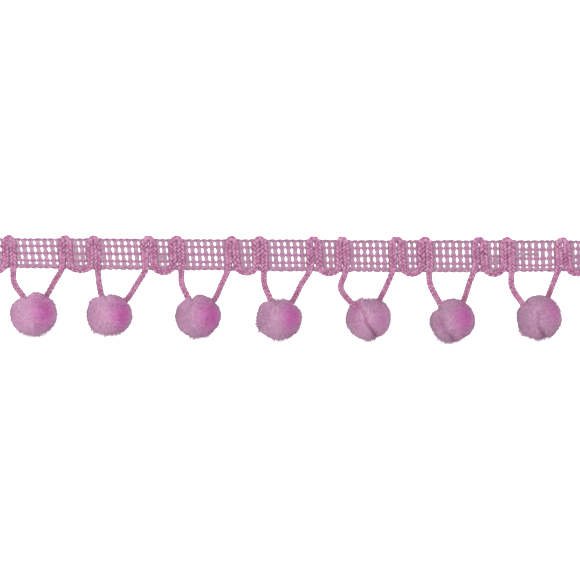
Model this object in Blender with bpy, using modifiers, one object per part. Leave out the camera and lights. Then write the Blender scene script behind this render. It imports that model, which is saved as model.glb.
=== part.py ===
"""A length of pompom fringe trim: a net tape, one cord looped along its face, and seven pompoms on the cord.

The trim lies on its back. X runs along it, Y across it towards the top edge, and Z up from the back of the tape.
Each repeat of the cord is a loop over the tape, a leg down to a pompom, a leg back up, a second loop over the
tape and a scallop across to the next repeat.
"""

import math
import random
from typing import NamedTuple

import bmesh
import bpy
from mathutils import Vector, noise

MM = 0.001  # the sizes below are in millimetres
WELD = 0.00001  # metres, for the caps of a tube that cuts

# The trim
POMPOM_COUNT = 7
REPEAT = 18.0  # along the tape, from one pompom to the next
GAP = 0.3  # between pieces that touch
TAPE_LEFT = -66.8  # the cut ends of the tape
TAPE_RIGHT = 66.4

# Net tape
TAPE_THICKNESS = 1.0
TAPE_HALF_WIDTH = 3.3  # at the middle of the length
TAPE_FLARE = 0.0011  # the half width grows by this for each millimetre along
HOLE_ROWS = ((-2.48, -1.78), (-1.39, -0.2), (0.22, 1.41), (1.76, 2.72))  # low and high edge of each row
HOLE_LEAN = -0.085  # the rungs lean back by this for each millimetre across
FACE_COLUMNS = (-3.45, 1.44, 6)  # holes between the two legs of a repeat: first, pitch and count
SCALLOP_COLUMNS = (8.66, 1.2, 2)  # the same inside the scallop after it
END_MARGIN = 1.4  # uncut tape at each end
HOLE_WIDTH = 0.72
SCALLOP_HOLE_WIDTH = 0.5

# Cord
CORD_RADIUS = 0.7
CORD_ROUNDING = 2  # bevel resolution, which gives 8 sides
CORD_ON_TAPE = TAPE_THICKNESS + GAP + CORD_RADIUS  # height of its centreline over the tape
LOOP_SPRING = 2.4  # where the loops leave the straight runs
RUN_FOOT = -2.3  # the low end of the straight runs above a leg
SCALLOP_FOOT = -1.6  # the low end of the straight runs above a scallop
SCALLOP_LOW = -3.85  # the centreline at the bottom of a scallop
SCALLOP_HIP = (0.42, -3.0)  # in from the run, and its height across the tape
MOST_TURN = math.radians(20)  # the bend between two lengths of the cord
CORNER_TURN = math.radians(7)  # the least bend that keeps a point of the route itself
SAMPLES = 12  # fine steps between two points of the route

# Pompoms
POM_CENTRE_HEIGHT = 4.45
POM_HALF_HEIGHT = 4.7
POM_FLAT = 0.16  # what hangs lower than this lies flat on the surface
POM_CORE = 0.975  # the ball below the locks, as a share of the whole pompom
POM_LUMP = 0.05  # the lumps' height, as a share of the radius
POM_LUMP_PITCH = 1.9  # lumps to a radius
LOCKS_EACH = 42
LOCK_TRIES = 60  # directions tried for them
LOCK_LENGTH = 0.34
LOCK_SPREAD = (0.75, 1.25)  # the shortest and longest lock, as shares of that length
LOCK_LEAN = 0.2  # the most that a lock leans, for each unit of its length
LOCK_TIP = 0.5  # its tip, as a share of its root
LOCK_RAGGED = 0.9  # locks at the lower rim are longer by this share
LOCK_SETTLED = 0.45  # locks on the underside are shorter by this share
LOCK_CLEAR = 2.0  # locks stay this far from the cord and from a parting
LOCK_LOWEST = -0.72  # no locks on the underside that rests
CORE_ABOVE = (0.6, 0.2)  # the cord turns this far above the middle of a pompom, across and in height
CHANNEL_RADIUS = (CORD_RADIUS + GAP) / math.cos(math.pi / 8)
CHANNEL_REACH = 2.6  # the channel's cutter starts this far outside the ball
CHANNEL_FLARE = 1.35  # the notch where the cord goes in
FLARE_FROM = 0.78  # the notch starts at this share of the radius
PARTING_RADIUS = 0.85
PARTING_LIFT = 0.3  # the cutter's line runs this far above the pile, so that the parting is a shallow one
PARTING_START = 0.5  # its first end, as a share of its radius


class Repeat(NamedTuple):
    """One repeat, in millimetres from its own middle along the tape and from the middle of the tape across."""

    centre: tuple  # pompom, along and across
    size: tuple  # pompom, along and across
    runs_in: tuple  # along, the two runs of the first loop
    runs_out: tuple  # along, the two runs of the second loop
    leg_in: tuple  # along, across and height, from the tape to the pompom
    leg_out: tuple  # the same, from the pompom back to the tape
    dive: tuple  # where the first leg sinks into the pile
    parting: tuple  # along and across from the pompom's centre, down the parted pile


REPEATS = (
    Repeat((-0.79, -13.12), (10.2, 9.4), (-7.37, -5.52), (4.92, 6.65),
           ((-5.45, -3.87, 2.1), (-5.11, -6.48, 3.1), (-2.93, -9.51, 4.7)),
           ((1.94, -9.49, 4.7), (3.61, -6.23, 3.1), (5.13, -3.83, 2.1)),
           (-2.2, -11.0, 5.0), ()),
    Repeat((-2.38, -13.22), (9.9, 8.8), (-7.0, -5.26), (4.85, 6.81),
           ((-5.0, -3.8, 2.1), (-4.65, -6.62, 3.1), (-3.98, -9.22, 4.7)),
           ((1.43, -9.96, 4.7), (3.61, -6.59, 3.1), (5.32, -3.76, 2.1)),
           (-3.4, -11.0, 5.0), ()),
    Repeat((-1.24, -13.46), (9.9, 9.3), (-6.95, -4.99), (5.01, 6.75),
           ((-4.94, -3.94, 2.1), (-4.76, -6.55, 3.1), (-3.33, -9.58, 4.7)),
           ((2.3, -9.99, 4.7), (3.94, -6.52, 3.1), (5.14, -3.9, 2.1)),
           (-2.6, -11.3, 5.0), ()),
    Repeat((-1.67, -13.99), (9.9, 9.0), (-6.9, -5.06), (4.73, 6.69),
           ((-5.04, -4.09, 2.1), (-4.89, -6.48, 3.1), (-3.63, -9.72, 4.7)),
           ((1.29, -10.14, 4.7), (3.14, -6.45, 3.1), (4.74, -4.05, 2.1)),
           (-3.0, -11.6, 5.0), ()),
    Repeat((-0.46, -13.94), (9.7, 9.3), (-6.97, -5.34), (4.67, 6.73),
           ((-5.48, -4.02, 2.3), (-6.27, -7.28, 4.7), (-4.16, -10.3, 7.9)),
           ((2.11, -9.63, 4.7), (3.56, -6.81, 3.1), (4.84, -3.97, 2.1)),
           (-2.5, -11.9, 7.4), ((-1.4, 1.7), (-0.3, -0.6), (0.8, -2.4), (1.8, -3.8))),
    Repeat((-0.22, -14.23), (9.8, 9.6), (-7.14, -5.18), (4.6, 6.56),
           ((-5.2, -3.94, 2.1), (-4.86, -6.55, 3.1), (-2.9, -10.55, 5.0)),
           ((2.29, -9.77, 4.7), (3.45, -6.3, 3.1), (4.49, -3.9, 2.1)),
           (-2.2, -12.0, 5.4), ((-2.9, 1.6), (-2.0, -0.8), (-0.9, -2.9))),
    Repeat((0.52, -13.52), (9.7, 9.7), (-7.2, -5.35), (4.76, 6.61),
           ((-5.32, -3.87, 2.1), (-5.16, -6.91, 3.1), (-3.05, -10.26, 4.9)),
           ((2.53, -8.83, 4.7), (3.56, -6.44, 3.1), (4.74, -3.83, 2.1)),
           (-2.0, -11.6, 5.2), ((-0.7, 1.8), (-0.7, -0.4), (0.1, -2.6))),
)


class Stop(NamedTuple):
    """A point on the cord's smooth line, and how far along the route it is, counted in route points."""

    place: Vector
    along: float


def middle_of(index: int) -> float:
    """The middle of a repeat along the tape."""
    return (index - (POMPOM_COUNT - 1) / 2) * REPEAT


def make_collection(name: str, parent: bpy.types.Collection) -> bpy.types.Collection:
    collection = bpy.data.collections.new(name)
    parent.children.link(collection)
    return collection


def make_material(name: str, colour: tuple, roughness: float) -> bpy.types.Material:
    material = bpy.data.materials.new(name)
    material.use_nodes = True
    shader = material.node_tree.nodes["Principled BSDF"]
    shader.inputs["Base Color"].default_value = (*colour, 1.0)
    shader.inputs["Roughness"].default_value = roughness
    shader.inputs["Metallic"].default_value = 0.0
    return material


def place_mesh(name: str, bm: bmesh.types.BMesh, collection: bpy.types.Collection) -> bpy.types.Object:
    """Turns a bmesh in millimetres into an object in metres."""
    bmesh.ops.scale(bm, vec=(MM, MM, MM), verts=bm.verts)
    mesh = bpy.data.meshes.new(name)
    bm.to_mesh(mesh)
    bm.free()
    obj = bpy.data.objects.new(name, mesh)
    collection.objects.link(obj)
    return obj


# Curves

def smooth_line(route: list) -> list:
    """A centripetal spline through the route's points, finely sampled."""
    ends = [2 * route[0] - route[1], *route, 2 * route[-1] - route[-2]]
    stops = []
    for i in range(len(route) - 1):
        p0, p1, p2, p3 = ends[i:i + 4]
        t1 = (p1 - p0).length ** 0.5
        t2 = t1 + (p2 - p1).length ** 0.5
        t3 = t2 + (p3 - p2).length ** 0.5
        for step in range(SAMPLES):
            share = step / SAMPLES
            t = t1 + (t2 - t1) * share
            a1 = p0.lerp(p1, t / t1)
            a2 = p1.lerp(p2, (t - t1) / (t2 - t1))
            a3 = p2.lerp(p3, (t - t2) / (t3 - t2))
            b1 = a1.lerp(a2, t / t2)
            b2 = a2.lerp(a3, (t - t1) / (t3 - t1))
            stops.append(Stop(b1.lerp(b2, (t - t1) / (t2 - t1)), i + share))
    stops.append(Stop(route[-1].copy(), float(len(route) - 1)))
    return stops


def thin_line(stops: list) -> list:
    """Keeps a point wherever the line has turned far enough since the last one."""
    kept = [stops[0]]
    heading = stops[1].place - stops[0].place
    for before, here, after in zip(stops, stops[1:], stops[2:]):
        turned = heading.angle(after.place - here.place)
        is_corner = here.along == int(here.along) and turned > CORNER_TURN
        if turned > MOST_TURN or is_corner:
            kept.append(here)
            heading = after.place - before.place
    kept.append(stops[-1])
    return kept


def stretch_near(line: list, span: tuple, centre: Vector, reach: float) -> list:
    """The stretch of the line within a span of the route that lies nearer to a centre than the reach."""
    near = []
    for here, after in zip(line, line[1:]):
        if not span[0] <= here.along <= span[1]:
            continue
        for step in range(SAMPLES):
            place = here.place.lerp(after.place, step / SAMPLES)
            if (place - centre).length < reach:
                near.append((place, step == 0))
    inner = [place for place, is_corner in near[1:-1] if is_corner]
    return [near[0][0], *inner, near[-1][0]]


def tube(name: str, places: list, radius: float, collection: bpy.types.Collection,
         widen: list | None = None) -> bpy.types.Object:
    """A round tube along a line of places in millimetres; widen gives a factor on the radius for each."""
    curve = bpy.data.curves.new(name, "CURVE")
    curve.dimensions = "3D"
    curve.bevel_depth = radius * MM
    curve.bevel_resolution = CORD_ROUNDING
    curve.use_fill_caps = True
    spline = curve.splines.new("POLY")
    spline.points.add(len(places) - 1)
    for index, (point, place) in enumerate(zip(spline.points, places)):
        point.co = (*(place * MM), 1.0)
        point.radius = widen[index] if widen else 1.0
    obj = bpy.data.objects.new(name, curve)
    collection.objects.link(obj)
    return obj


def tube_cutter(name: str, places: list, radius: float, collection: bpy.types.Collection,
                widen: list | None = None) -> bpy.types.Object:
    """A tube made a mesh with welded caps, kept out of the render."""
    curve_object = tube(name + "_line", places, radius, collection, widen)
    bpy.context.view_layer.update()
    evaluated = curve_object.evaluated_get(bpy.context.evaluated_depsgraph_get())
    mesh = bpy.data.meshes.new_from_object(evaluated)
    mesh.name = name
    bm = bmesh.new()
    bm.from_mesh(mesh)
    bmesh.ops.remove_doubles(bm, verts=bm.verts, dist=WELD)
    bm.to_mesh(mesh)
    bm.free()
    cutter = bpy.data.objects.new(name, mesh)
    cutter.matrix_world = curve_object.matrix_world
    collection.objects.link(cutter)
    bpy.data.objects.remove(curve_object)
    cutter.hide_render = True
    cutter.display_type = "WIRE"
    return cutter


# Net tape

def tape_columns() -> list:
    """The low and high edge of every column of holes, along the tape."""
    columns = []
    for index in range(-1, POMPOM_COUNT + 1):
        middle = middle_of(index)
        for (first, pitch, count), width in (FACE_COLUMNS, HOLE_WIDTH), (SCALLOP_COLUMNS, SCALLOP_HOLE_WIDTH):
            columns += [(middle + first + pitch * step, width) for step in range(count)]
    inside = [c for c in columns if TAPE_LEFT + END_MARGIN < c[0] < TAPE_RIGHT - END_MARGIN]
    return [(centre - width / 2, centre + width / 2) for centre, width in inside]


def make_tape(collection: bpy.types.Collection, material: bpy.types.Material) -> bpy.types.Object:
    """A flat grid with a face for each hole taken out, thickened by Solidify."""
    along = [TAPE_LEFT, *(edge for column in tape_columns() for edge in column), TAPE_RIGHT]
    across = [-TAPE_HALF_WIDTH, *(edge for row in HOLE_ROWS for edge in row), TAPE_HALF_WIDTH]
    bm = bmesh.new()
    bmesh.ops.create_grid(bm, x_segments=len(along) - 1, y_segments=len(across) - 1, size=1.0)
    stations = {}
    for vert in bm.verts:
        i = round((vert.co.x + 1) / 2 * (len(along) - 1))
        j = round((vert.co.y + 1) / 2 * (len(across) - 1))
        stations[vert] = (i, j)
    holes = []
    for face in bm.faces:
        i = min(stations[vert][0] for vert in face.verts)
        j = min(stations[vert][1] for vert in face.verts)
        if i % 2 == 1 and j % 2 == 1:
            holes.append(face)
    for vert, (i, j) in stations.items():
        is_end = i in (0, len(along) - 1)
        x = along[i] + (0.0 if is_end else HOLE_LEAN * across[j])
        flare = 1 + TAPE_FLARE * x / TAPE_HALF_WIDTH
        vert.co = (x, across[j] * flare, 0.0)
    bmesh.ops.delete(bm, geom=holes, context="FACES")
    tape = place_mesh("tape", bm, collection)
    thickness = tape.modifiers.new("Thickness", "SOLIDIFY")
    thickness.thickness = TAPE_THICKNESS * MM
    thickness.offset = 1.0
    tape.data.materials.append(material)
    return tape


# Cord

def loop_over(low: float, high: float) -> list:
    """A half round over the tape's top edge, from one straight run to the next."""
    centre = Vector(((low + high) / 2, LOOP_SPRING, CORD_ON_TAPE))
    radius = (high - low) / 2
    turns = (math.pi, math.pi * 2 / 3, math.pi / 3, 0.0)
    return [centre + radius * Vector((math.cos(turn), math.sin(turn), 0.0)) for turn in turns]


def scallop(low: float, high: float) -> list:
    """The shallow bow below the tape, between two straight runs."""
    hip, hip_across = SCALLOP_HIP
    flat = [(low, SCALLOP_FOOT), (low + hip, hip_across), ((low + high) / 2, SCALLOP_LOW),
            (high - hip, hip_across), (high, SCALLOP_FOOT)]
    return [Vector((x, y, CORD_ON_TAPE)) for x, y in flat]


def cord_route() -> tuple:
    """The route's points, and for each pompom the first and last points of its two legs."""
    start = middle_of(-1) + REPEATS[-1].runs_out[1]
    end = middle_of(POMPOM_COUNT) + REPEATS[0].runs_in[0]
    route = [Vector((start, LOOP_SPRING, CORD_ON_TAPE))]
    spans = []
    before = start
    for index, row in enumerate(REPEATS):
        shift = Vector((middle_of(index), 0.0, 0.0))
        runs_in = [middle_of(index) + x for x in row.runs_in]
        runs_out = [middle_of(index) + x for x in row.runs_out]
        core = Vector((row.centre[0], row.centre[1] + CORE_ABOVE[0], POM_CENTRE_HEIGHT + CORE_ABOVE[1]))
        route += scallop(before, runs_in[0])
        route += loop_over(*runs_in)
        route.append(Vector((runs_in[1], RUN_FOOT, CORD_ON_TAPE)))
        first_point = len(route)
        route += [Vector(point) + shift for point in (*row.leg_in, row.dive)]
        route.append(core + shift)
        route += [Vector(point) + shift for point in row.leg_out]
        spans.append((first_point, len(route) - 1))
        route.append(Vector((runs_out[0], RUN_FOOT, CORD_ON_TAPE)))
        route += loop_over(*runs_out)
        before = runs_out[1]
    route += scallop(before, end)
    route.append(Vector((end, LOOP_SPRING, CORD_ON_TAPE)))
    return route, spans


def make_cord(line: list, collection: bpy.types.Collection, material: bpy.types.Material) -> bpy.types.Object:
    cord = tube("cord", [stop.place for stop in line], CORD_RADIUS, collection)
    cord.data.materials.append(material)
    return cord


# Pompoms

def even_directions(count: int) -> list:
    """Directions spread evenly round a ball, on a golden spiral."""
    golden = math.pi * (3 - math.sqrt(5))
    directions = []
    for i in range(count):
        z = 1 - 2 * (i + 0.5) / count
        ring = math.sqrt(1 - z * z)
        directions.append(Vector((ring * math.cos(golden * i), ring * math.sin(golden * i), z)))
    return directions


def parting_line(row: Repeat, centre: Vector) -> list:
    """The parted pile's line, lifted onto the top of the ball."""
    points = []
    for x, y in row.parting:
        rise = 1 - (2 * x / row.size[0]) ** 2 - (2 * y / row.size[1]) ** 2
        point = Vector((x, y, POM_CORE * POM_HALF_HEIGHT * math.sqrt(max(rise, 0.02))))
        points.append(centre + point + PARTING_LIFT * point.normalized())
    return [stop.place for stop in thin_line(smooth_line(points))] if points else []


def make_ball(name: str, row: Repeat, centre: Vector, keep_clear: list, seed: int,
              collection: bpy.types.Collection) -> bpy.types.Object:
    """A lumpy ball of pile with tapered locks standing out of it, flat where it rests."""
    draw = random.Random(seed)
    half = Vector((row.size[0] / 2, row.size[1] / 2, POM_HALF_HEIGHT))
    bm = bmesh.new()
    bmesh.ops.create_icosphere(bm, subdivisions=3, radius=1.0)
    for vert in bm.verts:
        direction = vert.co.normalized()
        swell = POM_CORE * (1 + POM_LUMP * noise.noise(direction * POM_LUMP_PITCH + Vector((seed, 0, 0))))
        vert.co = centre + swell * direction * half
        if vert.co.z < POM_FLAT:
            vert.co.z = 0.0
    bm.normal_update()
    chosen = []
    taken = set()
    for direction in even_directions(LOCK_TRIES):
        if direction.z < LOCK_LOWEST or len(chosen) == LOCKS_EACH:
            continue
        face = max(bm.faces, key=lambda f: (f.calc_center_median() - centre).normalized().dot(direction))
        middle = face.calc_center_median()
        if taken & {vert.index for vert in face.verts}:
            continue
        if min((place - middle).length for place in keep_clear) < LOCK_CLEAR:
            continue
        taken |= {vert.index for vert in face.verts}
        chosen.append(face)
    locks = bmesh.ops.extrude_discrete_faces(bm, faces=chosen)["faces"]
    for face in locks:
        middle = face.calc_center_median()
        outward = (middle - centre).normalized()
        lean = Vector([draw.uniform(-LOCK_LEAN, LOCK_LEAN) for _ in range(3)])
        length = LOCK_LENGTH * draw.uniform(*LOCK_SPREAD)
        length *= (1 + LOCK_RAGGED * max(0.0, -outward.y)) * (1 + LOCK_SETTLED * min(0.0, outward.z))
        tip = middle + length * (outward + lean)
        for vert in face.verts:
            vert.co = tip + LOCK_TIP * (vert.co - middle)
    return place_mesh(name, bm, collection)


def make_pompom(index: int, line: list, span: tuple, collection: bpy.types.Collection,
                cutters: bpy.types.Collection, material: bpy.types.Material) -> bpy.types.Object:
    """A pompom with the cord's channel through its core and, on three of them, the pile parted across the top."""
    row = REPEATS[index]
    name = f"pompom_{index + 1}"
    centre = Vector((middle_of(index) + row.centre[0], row.centre[1], POM_CENTRE_HEIGHT))
    reach = max(row.size) / 2 + CHANNEL_REACH
    inside = stretch_near(line, span, centre, reach)
    parting = parting_line(row, centre)
    ball = make_ball(name, row, centre, inside + parting, index + 1, collection)
    flare_from = FLARE_FROM * row.size[0] / 2
    widen = [1.0 if (place - centre).length < flare_from else CHANNEL_FLARE for place in inside]
    grooves = [tube_cutter(name + "_channel", inside, CHANNEL_RADIUS, cutters, widen)]
    if parting:
        taper = [PARTING_START] + [1.0] * (len(parting) - 1)
        grooves.append(tube_cutter(name + "_parting", parting, PARTING_RADIUS, cutters, taper))
    for groove in grooves:
        cut = ball.modifiers.new(groove.name, "BOOLEAN")
        cut.operation = "DIFFERENCE"
        cut.solver = "EXACT"
        cut.object = groove
    ball.data.materials.append(material)
    return ball


def main() -> None:
    for obj in list(bpy.data.objects):
        bpy.data.objects.remove(obj)
    trim = make_collection("pompom_fringe_trim", bpy.context.scene.collection)
    cutters = make_collection("cutters", bpy.context.scene.collection)
    tape_yarn = make_material("tape_yarn", (0.48, 0.22, 0.36), 0.85)
    cord_yarn = make_material("cord_yarn", (0.5, 0.19, 0.36), 0.8)
    pile = make_material("pile", (0.5, 0.2, 0.38), 0.95)
    make_tape(trim, tape_yarn)
    route, spans = cord_route()
    line = thin_line(smooth_line(route))
    make_cord(line, trim, cord_yarn)
    for index, span in enumerate(spans):
        pompom = make_pompom(index, line, span, trim, cutters, pile)
        pompom.data.shade_smooth()
        pompom.data.set_sharp_from_angle(angle=math.radians(35))


main()
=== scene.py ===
"""The looks of a length of pompom fringe trim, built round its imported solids.

A knitted net tape lies flat on its back. One soft plaited cord is looped along its face, and carries seven
shorn pompoms below the tape. Sizes are in millimetres inside the classes, and a mesh is scaled to metres as
it is made. X runs along the trim, Y across it away from the pompoms, and Z up from the surface.
"""

from __future__ import annotations

import logging
import math
import random
from dataclasses import dataclass, field
from enum import Enum
from typing import Any

import bpy
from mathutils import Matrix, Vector, noise

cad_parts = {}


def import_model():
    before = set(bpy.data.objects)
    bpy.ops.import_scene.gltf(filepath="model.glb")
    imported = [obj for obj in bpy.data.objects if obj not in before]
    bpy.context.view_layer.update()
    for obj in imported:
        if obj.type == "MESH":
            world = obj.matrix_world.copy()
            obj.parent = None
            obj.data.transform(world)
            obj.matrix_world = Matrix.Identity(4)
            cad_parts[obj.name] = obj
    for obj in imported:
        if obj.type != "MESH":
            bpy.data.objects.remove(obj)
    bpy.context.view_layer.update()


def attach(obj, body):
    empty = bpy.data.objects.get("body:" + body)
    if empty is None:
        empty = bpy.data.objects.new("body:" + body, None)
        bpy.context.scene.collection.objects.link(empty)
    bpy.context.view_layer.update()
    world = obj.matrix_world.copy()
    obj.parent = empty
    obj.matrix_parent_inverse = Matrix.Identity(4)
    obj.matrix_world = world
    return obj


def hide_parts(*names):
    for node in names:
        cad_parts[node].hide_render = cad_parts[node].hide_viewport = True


MM = 0.001
PER_MM2 = 1e6  # as many to a square metre as one to a square millimetre
WELD = 1e-6  # in metres: two points closer than this are one
POMPOM_COUNT = 7
REPEAT = 18.0  # along the tape, from one pompom to the next
BODY = "root"

Span = tuple[float, float]
Place = tuple[float, float, float]
Triple = tuple[float, float, float]
Colour = tuple[float, float, float]

log = logging.getLogger("trim")


class Structure(Enum):
    """How a yarn's strands go round each other: the turns they make sideways and up in one period."""

    PLAIT = (1, 2)
    TWIST = (1, 1)


@dataclass(frozen=True)
class Repeat:
    """The cord's way through one repeat, from its own middle along and from the tape's middle across."""

    runs_in: Span  # along, the two runs of the first loop
    runs_out: Span  # along, the two runs of the second loop
    leg_in: tuple[Place, ...]  # from the tape down to the pompom
    leg_out: tuple[Place, ...]  # from the pompom back up to the tape
    dive: Place  # where the first leg sinks into the pile
    bow: float  # across, the lowest point of the scallop that follows


@dataclass(frozen=True)
class Ball:
    """What one pompom looks like from above."""

    centre: Span  # along and across, from the repeat's middle and the tape's middle
    size: Span  # along and across
    dents: tuple[Triple, ...]  # angle round the rim, depth and reach
    parting: tuple[Triple, ...]  # from the centre down the parted pile, and how deep it is
    # painted nap sheen: patches of pinker pile on the pale side, where the pile is seen end-on
    nap_sheen_patches: tuple[tuple[float, ...], ...]  # from the centre, reach and strength; the first is deep pink
    ragged: tuple[Span, ...]  # angle round the rim and reach of the longer fibres
    tone: float  # how bright its pale side is


@dataclass(frozen=True)
class Column:
    """A column of the net's holes: its place along, and the width of its holes from the top row down."""

    along: float
    widths: tuple[float, ...]


@dataclass(frozen=True)
class NetRepeat:
    """The columns of the net's holes in one repeat, from its middle."""

    face: Span  # the first and the last of the wide columns between the legs
    others: tuple[Column, ...]  # a thin one before them, then the pair's, the scallop's and the next pair's


@dataclass(frozen=True)
class Slack:
    """Where the tape's middle ribs hang lower than the rest, and how much."""

    along: float = 53.7
    across: float = -0.4
    reach_along: float = 5.0
    reach_across: float = 2.8
    most: float = 0.58


REPEATS = (
    Repeat((-7.2, -5.45), (5.1, 6.75), ((-5.38, -3.7, 2.1), (-5.08, -6.48, 3.1), (-2.92, -9.51, 4.7)),
           ((1.84, -9.49, 4.7), (3.58, -6.23, 3.1), (5.02, -3.6, 2.1)), (-2.2, -11.0, 5.0), -3.5),
    Repeat((-6.78, -5.1), (5.05, 6.95), ((-5.05, -3.7, 2.1), (-4.69, -6.62, 3.1), (-4.02, -9.22, 4.7)),
           ((1.33, -9.96, 4.7), (3.5, -6.59, 3.1), (5.2, -3.55, 2.1)), (-3.4, -11.0, 5.0), -3.85),
    Repeat((-6.85, -4.95), (5.18, 6.9), ((-4.94, -3.8, 2.1), (-4.78, -6.55, 3.1), (-3.35, -9.58, 4.7)),
           ((2.2, -9.99, 4.7), (3.84, -6.52, 3.1), (5.02, -3.7, 2.1)), (-2.6, -11.3, 5.0), -3.85),
    Repeat((-6.75, -4.95), (4.88, 6.8), ((-5.03, -3.9, 2.1), (-4.92, -6.48, 3.1), (-3.65, -9.72, 4.7)),
           ((1.19, -10.14, 4.7), (3.08, -6.45, 3.1), (4.7, -3.85, 2.1)), (-3.0, -11.6, 5.0), -3.85),
    Repeat((-6.8, -5.15), (4.85, 6.85), ((-5.42, -3.95, 2.3), (-6.4, -7.28, 4.7), (-4.4, -10.2, 7.5)),
           ((2.03, -9.63, 4.7), (3.5, -6.81, 3.1), (4.74, -3.75, 2.1)), (-3.1, -11.4, 6.7), -3.9),
    Repeat((-6.95, -5.1), (4.78, 6.72), ((-5.25, -3.8, 2.1), (-4.98, -6.55, 3.1), (-3.02, -10.5, 5.0)),
           ((2.17, -9.77, 4.7), (3.37, -6.3, 3.1), (4.4, -3.7, 2.1)), (-2.3, -12.0, 5.4), -3.95),
    Repeat((-7.1, -5.3), (4.88, 6.75), ((-5.36, -3.75, 2.1), (-5.32, -6.91, 3.1), (-3.3, -10.26, 4.9)),
           ((2.4, -8.83, 4.7), (3.46, -6.44, 3.1), (4.6, -3.6, 2.1)), (-2.2, -11.6, 5.2), -3.9),
)
BALLS = (
    Ball((-0.77, -13.1), (10.3, 9.45), ((110, 1.0, 0.95), (135, 0.45, 1.2)), (),
         ((3.0, 0.5, 2.9, 1.0), (-2.5, -0.6, 0.9, 0.4), (-2.3, -2.1, 0.8, 0.4), (0.9, 1.9, 2.3, 0.45)),
         ((285, 2.2), (255, 1.2), (235, 0.8)), 1.0),
    Ball((-2.38, -13.2), (9.95, 8.9),
         ((99, 0.6, 0.45), (32, 0.2, 0.5), (142, -0.28, 1.3), (212, -0.2, 1.4), (318, -0.2, 1.2)), (),
         ((3.2, 0.0, 2.9, 1.0), (1.4, 1.7, 1.8, 0.5), (-2.2, 0.2, 2.0, 0.35)),
         ((262, 2.6), (225, 1.0)), 0.98),
    Ball((-1.27, -13.46), (10.1, 9.35),
         ((106, 0.75, 0.6), (137, 0.25, 1.0), (34, 0.15, 0.5), (222, -0.12, 1.4)), (),
         ((3.3, 0.0, 3.2, 1.0), (-2.6, -0.2, 2.0, 0.35), (0.6, 0.5, 2.4, 0.45)),
         ((262, 1.6), (292, 0.8)), 0.88),
    Ball((-1.67, -13.99), (9.95, 9.0), ((95, 0.75, 1.3), (46, 0.3, 0.6), (142, -0.3, 1.2)), (),
         ((3.0, 0.6, 2.6, 1.0), (-2.6, 1.0, 1.4, 0.55), (1.0, 0.4, 1.9, 0.4)),
         ((94, 1.6), (272, 1.6), (205, 1.2)), 0.88),
    Ball((-0.43, -13.88), (9.8, 9.3),
         ((90, 0.75, 1.1), (302, 0.15, 0.5), (35, -0.22, 1.1), (150, -0.1, 1.0)),
         ((-1.9, 2.6, 0.3), (-1.1, 1.3, 0.42), (-0.6, -0.9, 0.55), (0.4, -2.2, 0.75), (1.7, -3.9, 1.0)),
         ((-2.85, 2.75, 1.1, 0.95), (2.7, 0.6, 2.6, 1.0), (-3.0, -1.0, 2.3, 0.6)),
         ((84, 2.2), (108, 1.2), (270, 1.4)), 0.89),
    Ball((-0.25, -14.23), (9.95, 9.65), ((143, 0.85, 1.1), (302, 0.3, 1.4)),
         ((-3.4, 1.4, 0.15), (-2.7, -0.6, 0.15), (-1.7, -2.6, 0.25), (-0.4, -3.6, 0.6), (0.5, -4.5, 0.9)),
         ((2.7, 1.0, 2.8, 0.9), (-2.6, -0.8, 1.2, 0.9), (0.4, 1.0, 1.8, 0.4)),
         ((258, 2.4), (228, 1.0)), 0.81),
    Ball((0.48, -13.48), (9.7, 9.7),
         ((136, 0.25, 1.0), (287, 0.15, 0.6), (222, -0.12, 1.2), (322, 0.05, 1.4)),
         ((-0.6, 1.5, 0.2), (-0.65, -0.6, 0.32), (-0.45, -2.2, 0.38), (0.7, -3.7, 0.75), (1.4, -4.8, 1.2)),
         ((2.9, 1.6, 2.4, 0.6), (0.0, 0.8, 1.1, 0.4), (-2.8, -1.6, 1.6, 0.35)),
         ((270, 1.6), (222, 1.0)), 0.79),
)

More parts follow.
